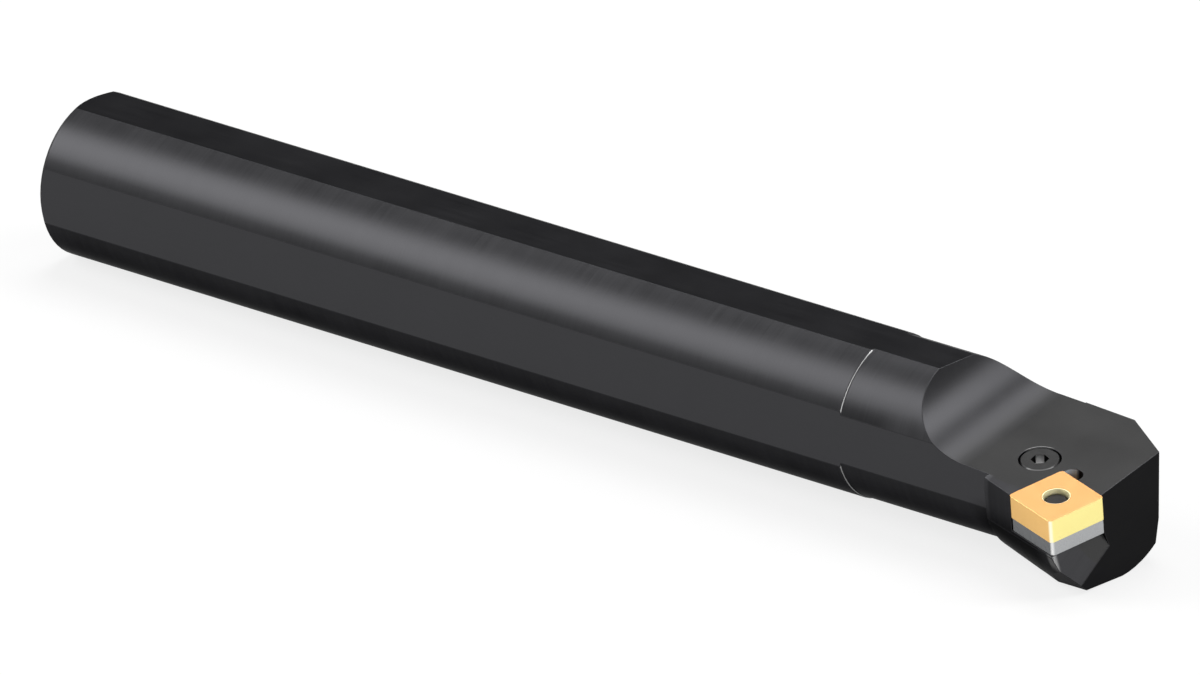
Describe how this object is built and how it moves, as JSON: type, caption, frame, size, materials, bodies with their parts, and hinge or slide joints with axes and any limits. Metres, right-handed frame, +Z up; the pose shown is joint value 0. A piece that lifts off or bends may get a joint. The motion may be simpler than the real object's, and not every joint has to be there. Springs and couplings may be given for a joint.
{
  "type": "boring bar",
  "caption": "Steel boring bar with three flats on a round shank, a flared head, a square indexable insert on a shim, and a lever clamp worked by a lock screw.",
  "frame": {"origin": "centre of the tail face, on the bar's axis", "axes": "+X along the bar's axis towards the insert, +Z up out of the insert's top side, the insert's nose points to -Y"},
  "size_m": [0.2528, 0.038, 0.0316],
  "materials": {
    "bar_steel": "dark satin, turned and milled",
    "coated_carbide": "gold coating, fine satin",
    "shim_carbide": "ground, bare",
    "spring_steel": "plain spring steel",
    "lever_steel": "satin, hardened",
    "screw_steel": "blackened, machined"
  },
  "bodies": {
    "bar": {"bar": "bar_steel", "insert": "coated_carbide", "shim": "shim_carbide", "shim_sleeve": "spring_steel"},
    "lever": {"lever": "lever_steel"},
    "lock_screw": {"lock_screw": "screw_steel"}
  },
  "joints": [
    {"name": "lock_screw_travel", "type": "slide", "parent": "bar", "child": "lock_screw", "axis": [0.0601, -0.1737, 0.983], "range_m": [0, 0.0005]},
    {"name": "lever_rock", "type": "hinge", "parent": "bar", "child": "lever", "pos_m": [0.24599, -0.01351, -0.01181], "axis": [0.6395, 0.7628, 0.0956], "range_deg": [0, 2.2]}
  ],
  "couplings": [
    {"joint": "lever_rock", "follows": "lock_screw_travel", "rad_per_m": 74.59}
  ]
}
